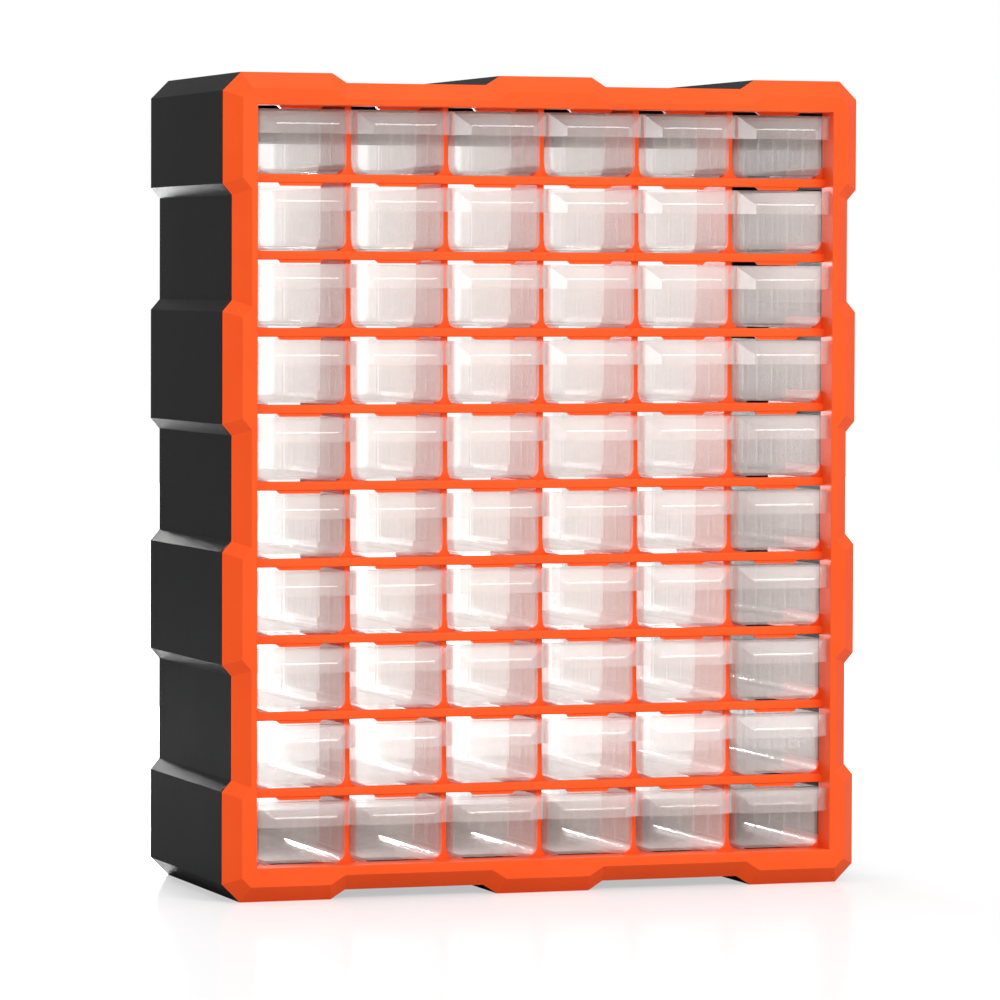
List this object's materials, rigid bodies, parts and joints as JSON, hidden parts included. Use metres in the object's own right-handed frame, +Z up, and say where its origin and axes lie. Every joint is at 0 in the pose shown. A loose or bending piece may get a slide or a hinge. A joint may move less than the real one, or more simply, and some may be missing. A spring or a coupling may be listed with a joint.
{
  "type": "parts bin cabinet",
  "caption": "Upright cabinet of small clear drawers that slide on corner rails in a bright front frame, with a dark open-backed housing and finger pulls",
  "frame": {"origin": "Middle of the bounding box's bottom face, on the surface that the cabinet stands on.", "axes": "+X runs to the right of a viewer in front of the drawers, +Y from the front to the back, +Z up."},
  "size_m": [0.38, 0.16, 0.463],
  "materials": {
    "orange_plastic": "moulded orange-red plastic, satin gloss",
    "black_plastic": "moulded black plastic, fine texture",
    "clear_plastic": "frosted clear plastic"
  },
  "bodies": {
    "cabinet": {"front_frame": "orange_plastic", "rear_housing": "black_plastic", "drawer_grid": "orange_plastic"},
    "drawer_r01_c1": {"drawer_r01_c1": "clear_plastic"},
    "drawer_r01_c2": {"drawer_r01_c2": "clear_plastic"},
    "drawer_r01_c3": {"drawer_r01_c3": "clear_plastic"},
    "drawer_r01_c4": {"drawer_r01_c4": "clear_plastic"},
    "drawer_r01_c5": {"drawer_r01_c5": "clear_plastic"},
    "drawer_r01_c6": {"drawer_r01_c6": "clear_plastic"},
    "drawer_r02_c1": {"drawer_r02_c1": "clear_plastic"},
    "drawer_r02_c2": {"drawer_r02_c2": "clear_plastic"},
    "drawer_r02_c3": {"drawer_r02_c3": "clear_plastic"},
    "drawer_r02_c4": {"drawer_r02_c4": "clear_plastic"},
    "drawer_r02_c5": {"drawer_r02_c5": "clear_plastic"},
    "drawer_r02_c6": {"drawer_r02_c6": "clear_plastic"},
    "drawer_r03_c1": {"drawer_r03_c1": "clear_plastic"},
    "drawer_r03_c2": {"drawer_r03_c2": "clear_plastic"},
    "drawer_r03_c3": {"drawer_r03_c3": "clear_plastic"},
    "drawer_r03_c4": {"drawer_r03_c4": "clear_plastic"},
    "drawer_r03_c5": {"drawer_r03_c5": "clear_plastic"},
    "drawer_r03_c6": {"drawer_r03_c6": "clear_plastic"},
    "drawer_r04_c1": {"drawer_r04_c1": "clear_plastic"},
    "drawer_r04_c2": {"drawer_r04_c2": "clear_plastic"},
    "drawer_r04_c3": {"drawer_r04_c3": "clear_plastic"},
    "drawer_r04_c4": {"drawer_r04_c4": "clear_plastic"},
    "drawer_r04_c5": {"drawer_r04_c5": "clear_plastic"},
    "drawer_r04_c6": {"drawer_r04_c6": "clear_plastic"},
    "drawer_r05_c1": {"drawer_r05_c1": "clear_plastic"},
    "drawer_r05_c2": {"drawer_r05_c2": "clear_plastic"},
    "drawer_r05_c3": {"drawer_r05_c3": "clear_plastic"},
    "drawer_r05_c4": {"drawer_r05_c4": "clear_plastic"},
    "drawer_r05_c5": {"drawer_r05_c5": "clear_plastic"},
    "drawer_r05_c6": {"drawer_r05_c6": "clear_plastic"},
    "drawer_r06_c1": {"drawer_r06_c1": "clear_plastic"},
    "drawer_r06_c2": {"drawer_r06_c2": "clear_plastic"},
    "drawer_r06_c3": {"drawer_r06_c3": "clear_plastic"},
    "drawer_r06_c4": {"drawer_r06_c4": "clear_plastic"},
    "drawer_r06_c5": {"drawer_r06_c5": "clear_plastic"},
    "drawer_r06_c6": {"drawer_r06_c6": "clear_plastic"},
    "drawer_r07_c1": {"drawer_r07_c1": "clear_plastic"},
    "drawer_r07_c2": {"drawer_r07_c2": "clear_plastic"},
    "drawer_r07_c3": {"drawer_r07_c3": "clear_plastic"},
    "drawer_r07_c4": {"drawer_r07_c4": "clear_plastic"},
    "drawer_r07_c5": {"drawer_r07_c5": "clear_plastic"},
    "drawer_r07_c6": {"drawer_r07_c6": "clear_plastic"},
    "drawer_r08_c1": {"drawer_r08_c1": "clear_plastic"},
    "drawer_r08_c2": {"drawer_r08_c2": "clear_plastic"},
    "drawer_r08_c3": {"drawer_r08_c3": "clear_plastic"},
    "drawer_r08_c4": {"drawer_r08_c4": "clear_plastic"},
    "drawer_r08_c5": {"drawer_r08_c5": "clear_plastic"},
    "drawer_r08_c6": {"drawer_r08_c6": "clear_plastic"},
    "drawer_r09_c1": {"drawer_r09_c1": "clear_plastic"},
    "drawer_r09_c2": {"drawer_r09_c2": "clear_plastic"},
    "drawer_r09_c3": {"drawer_r09_c3": "clear_plastic"},
    "drawer_r09_c4": {"drawer_r09_c4": "clear_plastic"},
    "drawer_r09_c5": {"drawer_r09_c5": "clear_plastic"},
    "drawer_r09_c6": {"drawer_r09_c6": "clear_plastic"},
    "drawers_r10_c1_c2": {"drawers_r10_c1_c2": "clear_plastic"},
    "drawers_r10_c3_c4": {"drawers_r10_c3_c4": "clear_plastic"},
    "drawers_r10_c5_c6": {"drawers_r10_c5_c6": "clear_plastic"}
  },
  "joints": [
    {"name": "slide_r01_c1", "type": "slide", "parent": "cabinet", "child": "drawer_r01_c1", "axis": [0, -1, 0], "range_m": [0, 0.13]},
    {"name": "slide_r01_c2", "type": "slide", "parent": "cabinet", "child": "drawer_r01_c2", "axis": [0, -1, 0], "range_m": [0, 0.13]},
    {"name": "slide_r01_c3", "type": "slide", "parent": "cabinet", "child": "drawer_r01_c3", "axis": [0, -1, 0], "range_m": [0, 0.13]},
    {"name": "slide_r01_c4", "type": "slide", "parent": "cabinet", "child": "drawer_r01_c4", "axis": [0, -1, 0], "range_m": [0, 0.13]},
    {"name": "slide_r01_c5", "type": "slide", "parent": "cabinet", "child": "drawer_r01_c5", "axis": [0, -1, 0], "range_m": [0, 0.13]},
    {"name": "slide_r01_c6", "type": "slide", "parent": "cabinet", "child": "drawer_r01_c6", "axis": [0, -1, 0], "range_m": [0, 0.13]},
    {"name": "slide_r02_c1", "type": "slide", "parent": "cabinet", "child": "drawer_r02_c1", "axis": [0, -1, 0], "range_m": [0, 0.13]},
    {"name": "slide_r02_c2", "type": "slide", "parent": "cabinet", "child": "drawer_r02_c2", "axis": [0, -1, 0], "range_m": [0, 0.13]},
    {"name": "slide_r02_c3", "type": "slide", "parent": "cabinet", "child": "drawer_r02_c3", "axis": [0, -1, 0], "range_m": [0, 0.13]},
    {"name": "slide_r02_c4", "type": "slide", "parent": "cabinet", "child": "drawer_r02_c4", "axis": [0, -1, 0], "range_m": [0, 0.13]},
    {"name": "slide_r02_c5", "type": "slide", "parent": "cabinet", "child": "drawer_r02_c5", "axis": [0, -1, 0], "range_m": [0, 0.13]},
    {"name": "slide_r02_c6", "type": "slide", "parent": "cabinet", "child": "drawer_r02_c6", "axis": [0, -1, 0], "range_m": [0, 0.13]},
    {"name": "slide_r03_c1", "type": "slide", "parent": "cabinet", "child": "drawer_r03_c1", "axis": [0, -1, 0], "range_m": [0, 0.13]},
    {"name": "slide_r03_c2", "type": "slide", "parent": "cabinet", "child": "drawer_r03_c2", "axis": [0, -1, 0], "range_m": [0, 0.13]},
    {"name": "slide_r03_c3", "type": "slide", "parent": "cabinet", "child": "drawer_r03_c3", "axis": [0, -1, 0], "range_m": [0, 0.13]},
    {"name": "slide_r03_c4", "type": "slide", "parent": "cabinet", "child": "drawer_r03_c4", "axis": [0, -1, 0], "range_m": [0, 0.13]},
    {"name": "slide_r03_c5", "type": "slide", "parent": "cabinet", "child": "drawer_r03_c5", "axis": [0, -1, 0], "range_m": [0, 0.13]},
    {"name": "slide_r03_c6", "type": "slide", "parent": "cabinet", "child": "drawer_r03_c6", "axis": [0, -1, 0], "range_m": [0, 0.13]},
    {"name": "slide_r04_c1", "type": "slide", "parent": "cabinet", "child": "drawer_r04_c1", "axis": [0, -1, 0], "range_m": [0, 0.13]},
    {"name": "slide_r04_c2", "type": "slide", "parent": "cabinet", "child": "drawer_r04_c2", "axis": [0, -1, 0], "range_m": [0, 0.13]},
    {"name": "slide_r04_c3", "type": "slide", "parent": "cabinet", "child": "drawer_r04_c3", "axis": [0, -1, 0], "range_m": [0, 0.13]},
    {"name": "slide_r04_c4", "type": "slide", "parent": "cabinet", "child": "drawer_r04_c4", "axis": [0, -1, 0], "range_m": [0, 0.13]},
    {"name": "slide_r04_c5", "type": "slide", "parent": "cabinet", "child": "drawer_r04_c5", "axis": [0, -1, 0], "range_m": [0, 0.13]},
    {"name": "slide_r04_c6", "type": "slide", "parent": "cabinet", "child": "drawer_r04_c6", "axis": [0, -1, 0], "range_m": [0, 0.13]},
    {"name": "slide_r05_c1", "type": "slide", "parent": "cabinet", "child": "drawer_r05_c1", "axis": [0, -1, 0], "range_m": [0, 0.13]},
    {"name": "slide_r05_c2", "type": "slide", "parent": "cabinet", "child": "drawer_r05_c2", "axis": [0, -1, 0], "range_m": [0, 0.13]},
    {"name": "slide_r05_c3", "type": "slide", "parent": "cabinet", "child": "drawer_r05_c3", "axis": [0, -1, 0], "range_m": [0, 0.13]},
    {"name": "slide_r05_c4", "type": "slide", "parent": "cabinet", "child": "drawer_r05_c4", "axis": [0, -1, 0], "range_m": [0, 0.13]},
    {"name": "slide_r05_c5", "type": "slide", "parent": "cabinet", "child": "drawer_r05_c5", "axis": [0, -1, 0], "range_m": [0, 0.13]},
    {"name": "slide_r05_c6", "type": "slide", "parent": "cabinet", "child": "drawer_r05_c6", "axis": [0, -1, 0], "range_m": [0, 0.13]},
    {"name": "slide_r06_c1", "type": "slide", "parent": "cabinet", "child": "drawer_r06_c1", "axis": [0, -1, 0], "range_m": [0, 0.13]},
    {"name": "slide_r06_c2", "type": "slide", "parent": "cabinet", "child": "drawer_r06_c2", "axis": [0, -1, 0], "range_m": [0, 0.13]},
    {"name": "slide_r06_c3", "type": "slide", "parent": "cabinet", "child": "drawer_r06_c3", "axis": [0, -1, 0], "range_m": [0, 0.13]},
    {"name": "slide_r06_c4", "type": "slide", "parent": "cabinet", "child": "drawer_r06_c4", "axis": [0, -1, 0], "range_m": [0, 0.13]},
    {"name": "slide_r06_c5", "type": "slide", "parent": "cabinet", "child": "drawer_r06_c5", "axis": [0, -1, 0], "range_m": [0, 0.13]},
    {"name": "slide_r06_c6", "type": "slide", "parent": "cabinet", "child": "drawer_r06_c6", "axis": [0, -1, 0], "range_m": [0, 0.13]},
    {"name": "slide_r07_c1", "type": "slide", "parent": "cabinet", "child": "drawer_r07_c1", "axis": [0, -1, 0], "range_m": [0, 0.13]},
    {"name": "slide_r07_c2", "type": "slide", "parent": "cabinet", "child": "drawer_r07_c2", "axis": [0, -1, 0], "range_m": [0, 0.13]},
    {"name": "slide_r07_c3", "type": "slide", "parent": "cabinet", "child": "drawer_r07_c3", "axis": [0, -1, 0], "range_m": [0, 0.13]},
    {"name": "slide_r07_c4", "type": "slide", "parent": "cabinet", "child": "drawer_r07_c4", "axis": [0, -1, 0], "range_m": [0, 0.13]},
    {"name": "slide_r07_c5", "type": "slide", "parent": "cabinet", "child": "drawer_r07_c5", "axis": [0, -1, 0], "range_m": [0, 0.13]},
    {"name": "slide_r07_c6", "type": "slide", "parent": "cabinet", "child": "drawer_r07_c6", "axis": [0, -1, 0], "range_m": [0, 0.13]},
    {"name": "slide_r08_c1", "type": "slide", "parent": "cabinet", "child": "drawer_r08_c1", "axis": [0, -1, 0], "range_m": [0, 0.13]},
    {"name": "slide_r08_c2", "type": "slide", "parent": "cabinet", "child": "drawer_r08_c2", "axis": [0, -1, 0], "range_m": [0, 0.13]},
    {"name": "slide_r08_c3", "type": "slide", "parent": "cabinet", "child": "drawer_r08_c3", "axis": [0, -1, 0], "range_m": [0, 0.13]},
    {"name": "slide_r08_c4", "type": "slide", "parent": "cabinet", "child": "drawer_r08_c4", "axis": [0, -1, 0], "range_m": [0, 0.13]},
    {"name": "slide_r08_c5", "type": "slide", "parent": "cabinet", "child": "drawer_r08_c5", "axis": [0, -1, 0], "range_m": [0, 0.13]},
    {"name": "slide_r08_c6", "type": "slide", "parent": "cabinet", "child": "drawer_r08_c6", "axis": [0, -1, 0], "range_m": [0, 0.13]},
    {"name": "slide_r09_c1", "type": "slide", "parent": "cabinet", "child": "drawer_r09_c1", "axis": [0, -1, 0], "range_m": [0, 0.13]},
    {"name": "slide_r09_c2", "type": "slide", "parent": "cabinet", "child": "drawer_r09_c2", "axis": [0, -1, 0], "range_m": [0, 0.13]},
    {"name": "slide_r09_c3", "type": "slide", "parent": "cabinet", "child": "drawer_r09_c3", "axis": [0, -1, 0], "range_m": [0, 0.13]},
    {"name": "slide_r09_c4", "type": "slide", "parent": "cabinet", "child": "drawer_r09_c4", "axis": [0, -1, 0], "range_m": [0, 0.13]},
    {"name": "slide_r09_c5", "type": "slide", "parent": "cabinet", "child": "drawer_r09_c5", "axis": [0, -1, 0], "range_m": [0, 0.13]},
    {"name": "slide_r09_c6", "type": "slide", "parent": "cabinet", "child": "drawer_r09_c6", "axis": [0, -1, 0], "range_m": [0, 0.13]},
    {"name": "slide_r10_c1_c2", "type": "slide", "parent": "cabinet", "child": "drawers_r10_c1_c2", "axis": [0, -1, 0], "range_m": [0, 0.13]},
    {"name": "slide_r10_c3_c4", "type": "slide", "parent": "cabinet", "child": "drawers_r10_c3_c4", "axis": [0, -1, 0], "range_m": [0, 0.13]},
    {"name": "slide_r10_c5_c6", "type": "slide", "parent": "cabinet", "child": "drawers_r10_c5_c6", "axis": [0, -1, 0], "range_m": [0, 0.13]}
  ]
}
